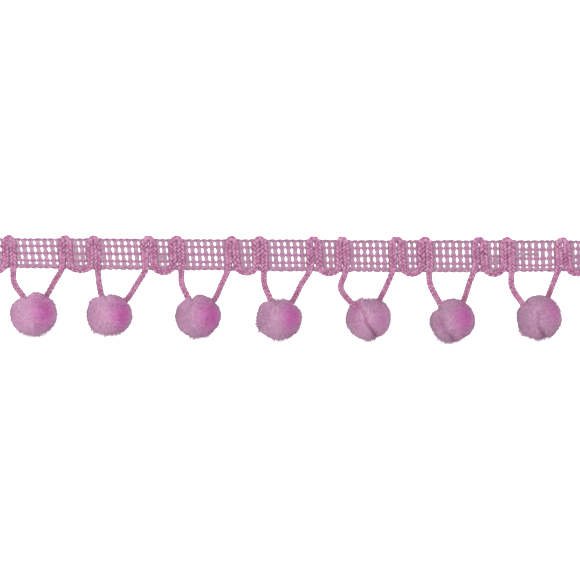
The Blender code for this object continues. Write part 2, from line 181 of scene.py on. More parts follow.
SAG = (  # how far the tape's top edge, its middle and its low edge hang at places along it
    (-60.0, -0.05, 0.0, -0.08), (-40.0, -0.05, 0.02, 0.14), (-20.0, 0.06, 0.12, 0.2),
    (0.0, 0.03, 0.18, 0.32), (19.0, 0.17, 0.24, 0.36), (38.0, 0.12, 0.24, 0.32), (58.0, 0.06, 0.18, 0.02),
)
SLACK = Slack()
HALF_NET = 3.0  # from the tape's middle across to where its edges hang as SAG says
FACE_COUNT = 6
FACE = (0.58, 0.57, 0.6, 0.54)  # the widths of the wide columns' holes, from the top row down
FACE_EDGE = (0.42, 0.4, 0.4, 0.44)  # of the first and the last of them
SHUT = (0.0, 0.0, 0.0, 0.0)
NET = (
    NetRepeat((-3.67, 3.8), (
        Column(-4.6, (0.0, 0.0, 0.0, 0.4)), Column(5.85, (0.48, 0.25, 0.08, 0.35)), Column(7.2, SHUT),
        Column(8.85, (0.46, 0.42, 0.2, 0.35)), Column(10.05, (0.5, 0.2, 0.12, 0.3)),
        Column(11.95, (0.0, 0.0, 0.2, 0.35)))),
    NetRepeat((-3.25, 3.9), (
        Column(-4.45, (0.28, 0.14, 0.1, 0.35)), Column(5.9, (0.46, 0.4, 0.22, 0.4)),
        Column(7.3, (0.3, 0.0, 0.0, 0.2)), Column(8.66, (0.6, 0.5, 0.0, 0.45)),
        Column(9.92, (0.52, 0.4, 0.25, 0.4)), Column(11.9, (0.0, 0.25, 0.0, 0.4)))),
    NetRepeat((-3.16, 3.83), (
        Column(-4.4, (0.2, 0.36, 0.14, 0.3)), Column(5.95, (0.36, 0.15, 0.15, 0.4)),
        Column(7.4, (0.25, 0.1, 0.0, 0.15)), Column(8.81, (0.5, 0.4, 0.3, 0.4)),
        Column(10.1, (0.5, 0.35, 0.25, 0.45)), Column(11.9, (0.0, 0.0, 0.0, 0.2)))),
    NetRepeat((-3.18, 3.9), (
        Column(-4.5, (0.0, 0.25, 0.0, 0.4)), Column(5.85, (0.45, 0.2, 0.1, 0.4)),
        Column(7.35, (0.2, 0.0, 0.0, 0.2)), Column(8.71, (0.52, 0.4, 0.4, 0.4)),
        Column(9.95, (0.5, 0.4, 0.2, 0.3)), Column(11.85, (0.0, 0.25, 0.0, 0.35)))),
    NetRepeat((-3.25, 3.73), (
        Column(-4.5, (0.22, 0.1, 0.0, 0.3)), Column(5.85, (0.42, 0.2, 0.2, 0.35)),
        Column(7.3, (0.16, 0.0, 0.0, 0.0)), Column(8.62, (0.45, 0.4, 0.3, 0.45)),
        Column(9.78, (0.5, 0.3, 0.3, 0.4)), Column(11.7, (0.0, 0.3, 0.35, 0.4)))),
    NetRepeat((-3.42, 3.76), (
        Column(-4.6, SHUT), Column(5.7, (0.42, 0.3, 0.0, 0.3)), Column(7.3, (0.0, 0.25, 0.0, 0.25)),
        Column(8.63, (0.6, 0.45, 0.0, 0.45)), Column(9.82, (0.36, 0.35, 0.0, 0.3)), Column(11.7, SHUT))),
    NetRepeat((-3.42, 3.74), (
        Column(-4.6, (0.0, 0.16, 0.0, 0.2)), Column(5.8, (0.42, 0.2, 0.1, 0.35)), Column(7.3, SHUT),
        Column(8.68, (0.5, 0.4, 0.2, 0.4)), Column(9.85, (0.5, 0.3, 0.2, 0.35)),
        Column(11.8, (0.0, 0.2, 0.0, 0.3)))),
)


@dataclass(frozen=True)
class Sample:
    """A point on a centreline, with its sideways and upward directions and its distance along."""

    place: Vector
    side: Vector
    up: Vector
    along: float


def middle_of(index: int) -> float:
    """The middle of a repeat along the tape."""
    return (index - (POMPOM_COUNT - 1) / 2) * REPEAT


def pairs_of_runs() -> list[Span]:
    """The places along the tape of the two runs of every loop."""
    shifted = [(middle_of(n), row) for n, row in enumerate(REPEATS)]
    return [(at + low, at + high) for at, row in shifted for low, high in (row.runs_in, row.runs_out)]


def share_past(value: float, start: float, reach: float) -> float:
    """How far a value is past a start, as a share of a reach, from 0 to 1."""
    return max(0.0, min(1.0, (value - start) / reach))


def eased(share: float) -> float:
    """A share that sets out and arrives slowly."""
    return share * share * (3 - 2 * share)


def bell(distance: float, reach: float) -> float:
    """One at no distance, and next to nothing at twice the reach."""
    return math.exp(-((distance / reach) ** 2))


def drift(most: float, *place: float) -> float:
    """A smooth wander, up or down by less than the most, that depends on a place."""
    return most * noise.noise(Vector(place))


def sag(x: float, y: float) -> float:
    """How far the tape hangs below a straight line.

    Args:
        x: The place along the tape.
        y: The place across it.

    Returns:
        The distance, in millimetres.
    """
    levels = SAG[0][1:] if x < SAG[0][0] else SAG[-1][1:]
    for before, after in zip(SAG, SAG[1:]):
        if before[0] <= x <= after[0]:
            share = eased((x - before[0]) / (after[0] - before[0]))
            levels = [a + (b - a) * share for a, b in zip(before[1:], after[1:])]
    top, middle, low = levels
    depth = max(-1.0, min(1.0, -y / HALF_NET))
    hangs = middle + (low - middle) * depth if depth > 0 else middle + (middle - top) * depth
    across = max(0.0, 1.0 - ((y - SLACK.across) / SLACK.reach_across) ** 2)
    return hangs + SLACK.most * across * math.exp(-(((x - SLACK.along) / SLACK.reach_along) ** 4))


def smooth_line(route: list[Vector], fine: int = 12) -> list[Vector]:
    """Draws a centripetal spline through a route.

    Args:
        route: The points it passes through, in order.
        fine: The steps between two of them.

    Returns:
        The finely spaced points of the line.
    """
    ends = [2 * route[0] - route[1], *route, 2 * route[-1] - route[-2]]
    places = []
    for i in range(len(route) - 1):
        p0, p1, p2, p3 = ends[i:i + 4]
        t1 = (p1 - p0).length ** 0.5
        t2 = t1 + (p2 - p1).length ** 0.5
        t3 = t2 + (p3 - p2).length ** 0.5
        for step in range(fine):
            t = t1 + (t2 - t1) * step / fine
            a1 = p0.lerp(p1, t / t1)
            a2 = p1.lerp(p2, (t - t1) / (t2 - t1))
            a3 = p2.lerp(p3, (t - t2) / (t3 - t2))
            b1 = a1.lerp(a2, t / t2)
            b2 = a2.lerp(a3, (t - t1) / (t3 - t1))
            places.append(b1.lerp(b2, (t - t1) / (t2 - t1)))
    places.append(route[-1].copy())
    return places


def even_samples(line: list[Vector], step: float) -> list[Sample]:
    """Spaces samples evenly along a line.

    Args:
        line: The line's points.
        step: The wanted distance between samples.

    Returns:
        The samples, each with its own sideways and upward direction.
    """
    lengths = [0.0]
    for before, after in zip(line, line[1:]):
        lengths.append(lengths[-1] + (after - before).length)
    count = max(2, round(lengths[-1] / step))
    places = []
    i = 0
    for n in range(count + 1):
        wanted = lengths[-1] * n / count
        while i < len(line) - 2 and lengths[i + 1] < wanted:
            i += 1
        share = (wanted - lengths[i]) / max(lengths[i + 1] - lengths[i], 1e-9)
        places.append(line[i].lerp(line[i + 1], share))
    samples = []
    for n, place in enumerate(places):
        ahead = places[min(n + 1, count)] - places[max(n - 1, 0)]
        side = Vector((0, 0, 1)).cross(ahead).normalized()
        samples.append(Sample(place, side, ahead.cross(side).normalized(), lengths[-1] * n / count))
    return samples


def deselect_all() -> None:
    """Leaves nothing selected."""
    bpy.ops.object.select_all(action="DESELECT")


def pick(obj: bpy.types.Object) -> None:
    """Makes an object the only selected and the active one."""
    deselect_all()
    obj.select_set(True)
    bpy.context.view_layer.objects.active = obj


def store(obj: bpy.types.Object, name: str, values: list[float]) -> None:
    """Stores a number for each point of a mesh, as an attribute."""
    obj.data.attributes.new(name, "FLOAT", "POINT").data.foreach_set("value", values)


def dress(obj: bpy.types.Object, material: bpy.types.Material) -> None:
    """Gives a piece its one material."""
    obj.data.materials.clear()
    obj.data.materials.append(material)


@dataclass(frozen=True)
class Yarn:
    """A round strand of yarn, and how many of them go round each other."""

    radius: float
    spread: float  # sideways, from the centreline
    lift: float  # up and down
    period: float
    strands: int = 3
    structure: Structure = Structure.PLAIT
    rounding: int = 1  # a curve's bevel resolution
    wander: float = 0.3  # the turns by which it runs ahead or lags
    wander_pitch: float = 0.3

    def lines(self, samples: list[Sample], start: float = 0.0,
              widths: list[float] | None = None) -> list[list[Vector]]:
        """Lays the strands round a centreline.

        Args:
            samples: The centreline.
            start: The turn that the first strand starts with.
            widths: The share of the usual spread at each sample.

        Returns:
            A list of points for each strand.
        """
        shares = widths or [1.0] * len(samples)
        sideways, upward = self.structure.value
        laid = []
        for strand in range(self.strands):
            phase = start + math.tau * strand / self.strands
            points = []
            for sample, share in zip(samples, shares):
                ahead = drift(self.wander, sample.along * self.wander_pitch, start, 0)
                turn = phase + math.tau * (sample.along / self.period + ahead)
                if self.structure is Structure.PLAIT:
                    across, height = math.sin(sideways * turn), math.sin(upward * turn)
                else:
                    across, height = math.sin(turn), math.cos(turn)
                sideways_by = self.spread * share * across
                points.append(sample.place + sideways_by * sample.side + self.lift * height * sample.up)
            laid.append(points)
        return laid


def strands_mesh(name: str, strands: list[list[Vector]], radius: float, rounding: int,
                 thick: list[float] | None = None) -> bpy.types.Object:
    """Makes round strands as one curve object and turns it into a mesh.

    Args:
        name: The piece's name.
        strands: The points of each strand, in millimetres.
        radius: The strands' radius.
        rounding: The curve's bevel resolution.
        thick: The share of the radius at each point of a strand.

    Returns:
        The mesh object, with its caps welded.
    """
    curve = bpy.data.curves.new(name, "CURVE")
    curve.dimensions = "3D"
    curve.bevel_depth = radius * MM
    curve.bevel_resolution = rounding
    curve.use_fill_caps = True
    for points in strands:
        spline = curve.splines.new("POLY")
        spline.points.add(len(points) - 1)
        spline.points.foreach_set("co", [value for point in points for value in (*(point * MM), 1.0)])
        if thick:
            spline.points.foreach_set("radius", thick)
    obj = bpy.data.objects.new(name, curve)
    bpy.context.scene.collection.objects.link(obj)
    pick(obj)
    bpy.ops.object.convert(target="MESH")
    obj = bpy.context.object
    obj.name = name
    bpy.ops.object.mode_set(mode="EDIT")
    bpy.ops.mesh.select_all(action="SELECT")
    bpy.ops.mesh.remove_doubles(threshold=WELD)
    bpy.ops.mesh.normals_make_consistent(inside=False)
    bpy.ops.object.mode_set(mode="OBJECT")
    bpy.ops.object.shade_smooth()
    return obj


@dataclass(frozen=True)
class Relief:
    """Where painted shade darkens a cord: down in its crevices, on its lower flanks and at its two sides,
    by starts and reaches that are shares of its half size.
    """

    core: Span = (0.5, 0.42)  # how far out of the cord a crevice ends
    flank_shade: Span = (-0.1, 0.75)  # how high the flanks end
    rim: Span = (0.72, 0.25)  # how far to the side the two sides start
    # painted shade: the lower flanks face away from the lamp overhead, and the two sides read darker from
    # above
    flank_share: float = 0.32  # how much darker the flanks are
    rim_share: float = 0.35  # how much darker the two sides are


def shade_crevices(obj: bpy.types.Object, samples: list[Sample], yarn: Yarn, widths: list[float],
                   relief: Relief = Relief()) -> None:
    """Stores painted shade for each point of a cord, as the attribute shade: darker down in its crevices,
    on its lower flanks and at its two sides.

    Args:
        obj: The cord's mesh, made from strands with a point at each sample.
        samples: The cord's centreline.
        yarn: The yarn it was laid with.
        widths: The share of the usual spread at each sample.
        relief: What is darkened, and how much.
    """
    mesh = obj.data
    along = mesh.uv_layers[0].data
    last = len(samples) - 1
    values = [1.0] * len(mesh.vertices)
    for face in mesh.polygons:
        if len(face.vertices) != 4:
            continue
        for loop in face.loop_indices:
            vertex = mesh.loops[loop].vertex_index
            nearest = min(last, round(along[loop].uv.x * last))
            sample = samples[nearest]
            away = mesh.vertices[vertex].co / MM - sample.place
            across = away.dot(sample.side) / (yarn.spread * widths[nearest] + yarn.radius)
            height = away.dot(sample.up) / (yarn.lift + yarn.radius)
            stands = share_past(math.hypot(across, height), *relief.core)
            flank_shade = 1.0 - relief.flank_share * (1.0 - share_past(height, *relief.flank_shade))
            rim = 1.0 - relief.rim_share * share_past(abs(across), *relief.rim)
            values[vertex] = stands * flank_shade * rim
    store(obj, "shade", values)


def join(pieces: list[bpy.types.Object], name: str) -> bpy.types.Object:
    """Joins pieces into one object.

    Args:
        pieces: The pieces, at least two.
        name: The new piece's name.

    Returns:
        The one object.
    """
    deselect_all()
    for piece in pieces:
        piece.select_set(True)
    bpy.context.view_layer.objects.active = pieces[0]
    bpy.ops.object.join()
    joined = bpy.context.object
    joined.name = name
    return joined


def add_node(tree: bpy.types.NodeTree, kind: str, given: dict[Any, Any] | None = None,
             **settings: Any) -> bpy.types.Node:
    """Adds a node, sets it up and fills its inputs.

    Args:
        tree: The tree that it goes into.
        kind: The kind of node.
        given: For an input's name or number, its value or the socket it is joined to.
        settings: What is set on the node itself.

    Returns:
        The node.
    """
    node = tree.nodes.new(kind)
    for name, setting in settings.items():
        setattr(node, name, setting)
    for name, value in (given or {}).items():
        if isinstance(value, bpy.types.NodeSocket):
            tree.links.new(value, node.inputs[name])
        else:
            node.inputs[name].default_value = value
    return node


def add_maths(tree: bpy.types.NodeTree, operation: str, *given: Any) -> bpy.types.NodeSocket:
    """Adds a node that works out a number from numbers or sockets."""
    return add_node(tree, "ShaderNodeMath", dict(enumerate(given)), operation=operation).outputs[0]


def add_vector_maths(tree: bpy.types.NodeTree, operation: str, *given: Any) -> bpy.types.Node:
    """Adds a node that works on vectors or sockets of them."""
    return add_node(tree, "ShaderNodeVectorMath", dict(enumerate(given)), operation=operation)


def add_mix(tree: bpy.types.NodeTree, first: Any, second: Any, factor: Any,
            blend: str = "MIX") -> bpy.types.NodeSocket:
    """Adds a node that mixes two colours.

    Args:
        tree: The material's nodes.
        first: The colour or socket that shows where the factor is 0.
        second: The colour or socket that shows where it is 1.
        factor: The factor, a number or a socket.
        blend: How the second one goes over the first.

    Returns:
        The mixed colour's socket.
    """
    given = {"A": first, "B": second, "Factor": factor}
    return add_node(tree, "ShaderNodeMix", given, data_type="RGBA", blend_type=blend).outputs["Result"]


def add_range(tree: bpy.types.NodeTree, value: bpy.types.NodeSocket, source: Span, target: tuple[Any, Any],
              steps: str = "LINEAR") -> bpy.types.NodeSocket:
    """Adds a node that turns one range of numbers into another.

    Args:
        tree: The nodes that it goes into.
        value: The number's socket.
        source: The ends of its range.
        target: What they become, as numbers or sockets.
        steps: How it goes from one end to the other.

    Returns:
        The new number's socket.
    """
    given = {"Value": value, "From Min": source[0], "From Max": source[1], "To Min": target[0],
             "To Max": target[1]}
    return add_node(tree, "ShaderNodeMapRange", given, interpolation_type=steps).outputs["Result"]


def add_noise(tree: bpy.types.NodeTree, scale: float, detail: float,
              place: bpy.types.NodeSocket | None = None) -> bpy.types.NodeSocket:
    """Adds a noise texture.

    Args:
        tree: The nodes that it goes into.
        scale: Its patches in a metre.
        detail: How fine its finest patches are.
        place: The socket of the place it is read at, or none for a point's own position.

    Returns:
        The noise's socket.
    """
    given = {"Scale": scale, "Detail": detail}
    if place is not None:
        given["Vector"] = place
    return add_node(tree, "ShaderNodeTexNoise", given).outputs["Fac"]


def read_shade(tree: bpy.types.NodeTree, name: str) -> bpy.types.NodeSocket:
    """Adds a node that reads a mesh's attribute in a material."""
    return add_node(tree, "ShaderNodeAttribute", attribute_name=name).outputs["Fac"]


def shader_of(material: bpy.types.Material) -> bpy.types.Node:
    """A material's one shader."""
    return material.node_tree.nodes["Principled BSDF"]


def start_material(name: str, given: dict[str, Any]) -> bpy.types.Material:
    """Makes a material.

    Args:
        name: Its name.
        given: The values of its shader's own sockets.

    Returns:
        The material.
    """
    material = bpy.data.materials.new(name)
    material.use_nodes = True
    for socket, value in given.items():
        shader_of(material).inputs[socket].default_value = value
    return material


def start_soft(name: str, finish: YarnFinish | PileFinish) -> bpy.types.Material:
    """Makes a material with the roughness, sheen and shine of a soft finish."""
    return start_material(name, {
        "Roughness": finish.roughness, "Sheen Weight": finish.sheen,
        "Sheen Roughness": finish.sheen_roughness, "Specular IOR Level": finish.shine})


def opaque(colour: Colour, tone: float = 1.0) -> tuple[float, ...]:
    """A colour at a brightness, with its fourth value."""
    return (*[tone * part for part in colour], 1.0)


@dataclass(frozen=True)
class YarnFinish:
    """Soft textured yarn: two close colours in patches, a painted shade colour for its crevices, flanks and
    sides, and fine fibres as bump.
    """

    name: str
    light: Colour
    deep: Colour
    # the painted shade colour, mixed in where the shade attribute is low
    crevice: Colour
    tinted: Colour = (0.43, 0.21, 0.33)  # where the attribute "tint" says so
    roughness: float = 0.85
    sheen: float = 0.12
    sheen_roughness: float = 0.5
    shine: float = 0.2
    patch: float = 1400.0  # the patches of colour in a metre
    patch_ends: Span = (0.38, 0.6)  # of their noise, where they are deep and where they are light
    fibre: float = 9000.0  # the fibres in a metre
    bump: float = 0.6
    bump_height: float = 0.00008

    def patches(self, tree: bpy.types.NodeTree, place: bpy.types.NodeSocket) -> bpy.types.NodeSocket:
        """Adds the nodes of the two colours in patches.

        Args:
            tree: The material's nodes.
            place: The socket of the place on the object.

        Returns:
            The colour's socket.
        """
        ramp = add_node(tree, "ShaderNodeValToRGB", {"Fac": add_noise(tree, self.patch, 3.0, place)})
        colours = (self.deep, self.light)
        for end, position, colour in zip(ramp.color_ramp.elements, self.patch_ends, colours):
            end.position = position
            end.color = opaque(colour)
        return ramp.outputs["Color"]

    def build(self) -> bpy.types.Material:
        """Makes the material."""
        material = start_soft(self.name, self)
        tree = material.node_tree
        place = add_node(tree, "ShaderNodeTexCoord").outputs["Object"]
        tint = add_mix(tree, self.patches(tree, place), opaque(self.tinted), read_shade(tree, "tint"))
        # painted shade: darker where the shade attribute is low
        colour = add_mix(tree, opaque(self.crevice), tint, read_shade(tree, "shade"))
        fibres = add_noise(tree, self.fibre, 2.0, place)
        bump = add_node(tree, "ShaderNodeBump", {
            "Strength": self.bump, "Distance": self.bump_height, "Height": fibres})
        tree.links.new(colour, shader_of(material).inputs["Base Color"])
        tree.links.new(bump.outputs["Normal"], shader_of(material).inputs["Normal"])
        return material


@dataclass(frozen=True)
class PileFinish:
    """Shorn pile: greyish where the nap lies one way and deep pink the other way, a painted nap sheen;
    painted shade down in a parting, on its sides and towards the fibres' roots.
    """

    # the pale pile carries the painted nap sheen; pink and deep are where the pile is seen end-on
    pale: Colour = (0.49, 0.285, 0.42)
    pink: Colour = (0.45, 0.204, 0.36)
    deep: Colour = (0.4, 0.093, 0.3)
    # painted shade down in the parting
    crease_shade: Colour = (0.2, 0.03, 0.12)
    # painted shade on the ball's sides, which the lamp overhead lights less
    flank_shade: Colour = (0.29, 0.182, 0.262)
    flank_share: float = 0.74
    flank_top: float = 0.44  # where the flank's colour ends, as a share of the half height over the middle
    under_share: float = 0.25  # of the flank's, underneath
    under_ends: Span = (-0.7, 0.05)  # where the underside's colour is full and where it ends
    # painted shade: the pile darker towards the fibres' roots, by the tip attribute
    root_share: float = 0.88
    crease_share: float = 0.75
    grain: Span = (0.95, 1.05)
    grain_scale: float = 2400.0
    grain_ends: Span = (0.36, 0.64)  # of the noise, where the grain is darkest and lightest
    tall: Triple = (1.2, 0.78, 1.0)  # how much a sheen patch is squeezed along, across and up
    blur: float = 0.5  # how far a sheen patch's rim wanders, as a share of its reach
    blur_scale: float = 420.0
    nap_sheen_ends: Span = (0.2, 2.1)  # where a sheen patch starts to fade and where it ends, in reaches
    roughness: float = 0.9
    sheen: float = 0.08
    sheen_roughness: float = 0.5
    shine: float = 0.1

    def flanks(self, tree: bpy.types.NodeTree, place: bpy.types.NodeSocket, middle: float,
               half: float) -> bpy.types.NodeSocket:
        """Adds the nodes of the painted shade on the ball's sides: how low on the ball's side a point is,
        with less of it underneath.

        Args:
            tree: The material's nodes.
            place: The socket of the place on the object.
            middle: The height of the ball's middle, in metres.
            half: Half its height, in metres.

        Returns:
            The socket that gives the share of the flank's colour.
        """
        height = add_node(tree, "ShaderNodeSeparateXYZ", {0: place}).outputs["Z"]
        sides = (middle, middle + self.flank_top * half)
        fade = add_range(tree, height, sides, (self.flank_share, 0.0), "SMOOTHSTEP")
        low, high = self.under_ends
        below = (middle + low * half, middle + high * half)
        under = add_range(tree, height, below, (self.under_share, 1.0), "SMOOTHSTEP")
        return add_maths(tree, "MULTIPLY", fade, under)

    def nap_sheen_patch(self, tree: bpy.types.NodeTree, place: bpy.types.NodeSocket, centre: Vector, reach: float,
              strength: float) -> bpy.types.NodeSocket:
        """Adds the nodes of one soft stain.

        Args:
            tree: The material's nodes.
            place: The socket of the place on the object.
            centre: The patch's centre, in metres.
            reach: How far it spreads, in metres.
            strength: Its strength at the centre.

        Returns:
            The socket that gives the patch's share.
        """
        away = add_vector_maths(tree, "SUBTRACT", place, centre).outputs["Vector"]
        squeezed = add_vector_maths(tree, "MULTIPLY", away, self.tall).outputs["Vector"]
        distance = add_vector_maths(tree, "LENGTH", squeezed).outputs["Value"]
        wander = add_noise(tree, self.blur_scale, 2.0, place)
        blurred = add_maths(tree, "MULTIPLY_ADD", wander, self.blur * reach, distance)
        ends = (self.nap_sheen_ends[0] * reach, self.nap_sheen_ends[1] * reach)
        return add_range(tree, blurred, ends, (strength, 0.0), "SMOOTHSTEP")

    def build(self, name: str, nap_sheen_patches: list[tuple[Vector, float, float]], tone: float, middle: float,
              half: float) -> bpy.types.Material:
        """Makes the material of one pompom.

        Args:
            name: The material's name.
            nap_sheen_patches: The centre, reach and strength of each patch of the painted nap sheen, in
                metres; the first is the deep pink one.
            tone: How bright the pale pile is.
            middle: The height of the ball's middle, in metres.
            half: Half its height, in metres.

        Returns:
            The material.
        """
        material = start_soft(name, self)
        tree = material.node_tree
        place = add_node(tree, "ShaderNodeTexCoord").outputs["Object"]
        # painted nap sheen: the pale pile, with pinker and deep pink patches where the pile is seen end-on
        colour: Any = opaque(self.pale, tone)
        for nap_sheen_patch in nap_sheen_patches[1:]:
            colour = add_mix(tree, colour, opaque(self.pink, tone), self.nap_sheen_patch(tree, place, *nap_sheen_patch))
        colour = add_mix(tree, colour, opaque(self.deep), self.nap_sheen_patch(tree, place, *nap_sheen_patches[0]))
        # painted shade down in the parting
        pressed = add_maths(tree, "MULTIPLY", read_shade(tree, "parting"), self.crease_share)
        colour = add_mix(tree, colour, opaque(self.crease_shade), pressed)
        # painted shade on the ball's sides
        colour = add_mix(tree, colour, opaque(self.flank_shade), self.flanks(tree, place, middle, half))
        grain = add_range(tree, add_noise(tree, self.grain_scale, 3.0, place), self.grain_ends, self.grain)
        colour = add_mix(tree, colour, grain, 1.0, "MULTIPLY")
        # painted shade towards the fibres' roots
        root = add_range(tree, read_shade(tree, "tip"), (0.0, 1.0), (self.root_share, 1.0))
        colour = add_mix(tree, colour, root, 1.0, "MULTIPLY")
        tree.links.new(colour, shader_of(material).inputs["Base Color"])
        return material


@dataclass(frozen=True)
class Chain:
    """A chain of yarn along the tape."""

    across: float
    height: float
    yarn: Yarn


@dataclass(frozen=True)
class Stray:
    """A doubled thread that lies over the slack holes."""

    start: float = 49.3
    end: float = 54.8
    across: float = 0.22
    height: float = 0.62
    beside: float = 0.13  # from its middle to each of its two yarns
    wander: float = 0.08
    steps: int = 30

    def lines(self) -> list[list[Vector]]:
        """Its two yarns, side by side."""
        laid = []
        for beside in (-self.beside, self.beside):
            points = []
            for n in range(self.steps + 1):
                x = self.start + (self.end - self.start) * n / self.steps
                y = self.across + beside + drift(self.wander, x, 0, beside)
                points.append(Vector((x, y, self.height)))
            laid.append(points)
        return laid


@dataclass
class NetTape:
    """The knitted net heading: chained ribs and two twisted edges, with bundles of yarn across them."""

    left: float = -66.8
    right: float = 66.4
    flare: float = 0.0011 / 3.3
    lean: float = -0.085
    straighten: float = 0.0009  # how much less it leans with each millimetre along
    rows: tuple[Span, ...] = ((1.76, 2.72), (0.22, 1.41), (-1.39, -0.2), (-2.48, -1.78))
    low: float = -3.0
    high: float = 3.02
    end_margin: float = 0.9
    ribs: tuple[Chain, ...] = (
        Chain(1.58, 0.64, Yarn(0.11, 0.1, 0.07, 2.99)),
        Chain(0.0, 0.64, Yarn(0.11, 0.11, 0.07, 2.99)),
        Chain(-1.58, 0.64, Yarn(0.11, 0.1, 0.07, 2.99)),
    )
    edges: tuple[Chain, ...] = (
        Chain(3.06, 0.5, Yarn(0.17, 0.13, 0.1, 2.99, 2, Structure.TWIST)),
        Chain(-2.74, 0.52, Yarn(0.14, 0.1, 0.1, 2.99)),
        Chain(-3.04, 0.5, Yarn(0.21, 0.24, 0.1, 2.99, 2, Structure.TWIST)),
    )
    chain_steps: int = 267
    chain_step: float = 0.24  # between the samples of a chain
    chain_wander: Span = (0.08, 0.3)  # how far it wanders across, and its pitch along
    draws: Span = (50.0, 6.0)  # the most that a chain's wander and its first turn are drawn from
    widest: float = 0.96  # how wide the face's holes are in the middle, as a share
    narrowing: float = 0.001  # how much less with each millimetre along
    slit: float = 0.03  # half the width that is left where a hole is shut
    hole_reach: Span = (0.1, 1.1)  # half a hole's height: the least, and how much it grows with the width
    hole_round: Span = (2.6, 0.6)  # the powers that round its ends
    strand: float = 0.17
    bundle: float = 0.3  # the most between the strands of a bundle
    bundle_steps: int = 24
    height: float = 0.4
    wander_along: Triple = (0.05, 1.5, 3.0)  # of a strand: how far, its pitch across and its start
    wander_up: Triple = (0.07, 0.9, 8.0)
    wander_next: float = 1.7  # how unlike the wander up is in the next bundle
    rib_reach: float = 0.3  # how far across a rib's deeper colour goes
    pair_reach: float = 0.4  # how far beside a pair of runs it goes
    edge_fade: Triple = (-60.0, 110.0, 0.18)  # from where and over how much the edges darken, and how much
    high_edge_fade: float = 0.14  # how much darker the top edge is
    rung_fade: Triple = (-55.0, 50.0, 0.27)
    rung_depth: Span = (0.3, 0.2)  # up, from where and over how much the bundles stand out of the dark
    rung_least: float = 0.2  # how light they are below it
    stray: Stray = Stray()
    rib_finish: YarnFinish = YarnFinish(
        "tape_ribs", (0.44, 0.215, 0.345), (0.36, 0.165, 0.285), (0.2, 0.07, 0.14))
    edge_finish: YarnFinish = YarnFinish(
        "tape_edges", (0.42, 0.25, 0.35), (0.33, 0.18, 0.27), (0.2, 0.08, 0.15))
    rung_finish: YarnFinish = YarnFinish(
        "tape_rungs", (0.37, 0.246, 0.317), (0.29, 0.183, 0.243), (0.2, 0.08, 0.15))

    def face_columns(self, index: int) -> list[Column]:
        """The wide columns between a repeat's legs.

        Args:
            index: The repeat's number.

        Returns:
            The columns, placed from the repeat's middle.
        """
        first, last = NET[index % POMPOM_COUNT].face
        wide = self.widest - self.narrowing * middle_of(index)
        end = FACE_COUNT - 1
        found = []
        for n in range(FACE_COUNT):
            widths = FACE_EDGE if n in (0, end) else FACE
            found.append(Column(first + (last - first) * n / end, tuple(wide * width for width in widths)))
        return found

    def columns(self) -> list[Column]:
        """Every column of holes, from the left end to the right end."""
        found = []
        for index in range(-1, POMPOM_COUNT + 1):
            for column in (*self.face_columns(index), *NET[index % POMPOM_COUNT].others):
                found.append(Column(middle_of(index) + column.along, column.widths))
        found.sort(key=lambda column: column.along)
        return [c for c in found if self.left + self.end_margin < c.along < self.right - self.end_margin]

    def half_hole(self, column: Column, across: float) -> float:
        """Half the width of a column's hole at a height on the tape, or nearly nothing between two holes.

        Args:
            column: The column.
            across: The place across the tape.

        Returns:
            Half the width there.
        """
        least, growth = self.hole_reach
        square, blunt = self.hole_round
        for (low, high), width in zip(self.rows, column.widths):
            reach = min((high - low) / 2, least + growth * width)
            off = abs(across - (low + high) / 2) / reach
            if off < 1:
                return max(self.slit, width / 2 * (1 - off ** square) ** blunt)
        return self.slit

    def place(self, x: float, y: float, z: float) -> Vector:
        """A point of the tape, widened towards its right end and hanging a little."""
        return Vector((x, y * (1 + self.flare * x) - sag(x, y), z))

    def nearest_rib(self, across: float) -> float:
        """How close a height on the tape is to a rib or an edge, from 0 to 1."""
        return bell(min(abs(across - chain.across) for chain in (*self.ribs, *self.edges)), self.rib_reach)

    def under_pair(self, along: float) -> bool:
        """Whether a place along the tape is under the two runs of a loop."""
        return any(low - self.pair_reach < along < high + self.pair_reach for low, high in pairs_of_runs())

    def chain_samples(self, chain: Chain, draw: random.Random) -> list[Sample]:
        """The centreline of a chain, a little uneven.

        Args:
            chain: The chain.
            draw: Where its random draws come from.

        Returns:
            The samples along it.
        """
        start = draw.uniform(0, self.draws[0])
        most, pitch = self.chain_wander
        line = []
        for n in range(self.chain_steps + 1):
            x = self.left + (self.right - self.left) * n / self.chain_steps
            line.append(self.place(x, chain.across + drift(most, x * pitch, start, 0), chain.height))
        return even_samples(line, self.chain_step)

    def chains(self, name: str, rows: tuple[Chain, ...], draw: random.Random) -> bpy.types.Object:
        """Lays chains of yarn along the tape.

        Args:
            name: The piece's name.
            rows: The chains.
            draw: Where their random draws come from.

        Returns:
            The chains as one piece.
        """
        made = []
        for row in rows:
            samples = self.chain_samples(row, draw)
            lines = row.yarn.lines(samples, draw.uniform(0, self.draws[1]))
            chain = strands_mesh(name, lines, row.yarn.radius, row.yarn.rounding)
            shade_crevices(chain, samples, row.yarn, [1.0] * len(samples))
            made.append(chain)
        return join(made, name)

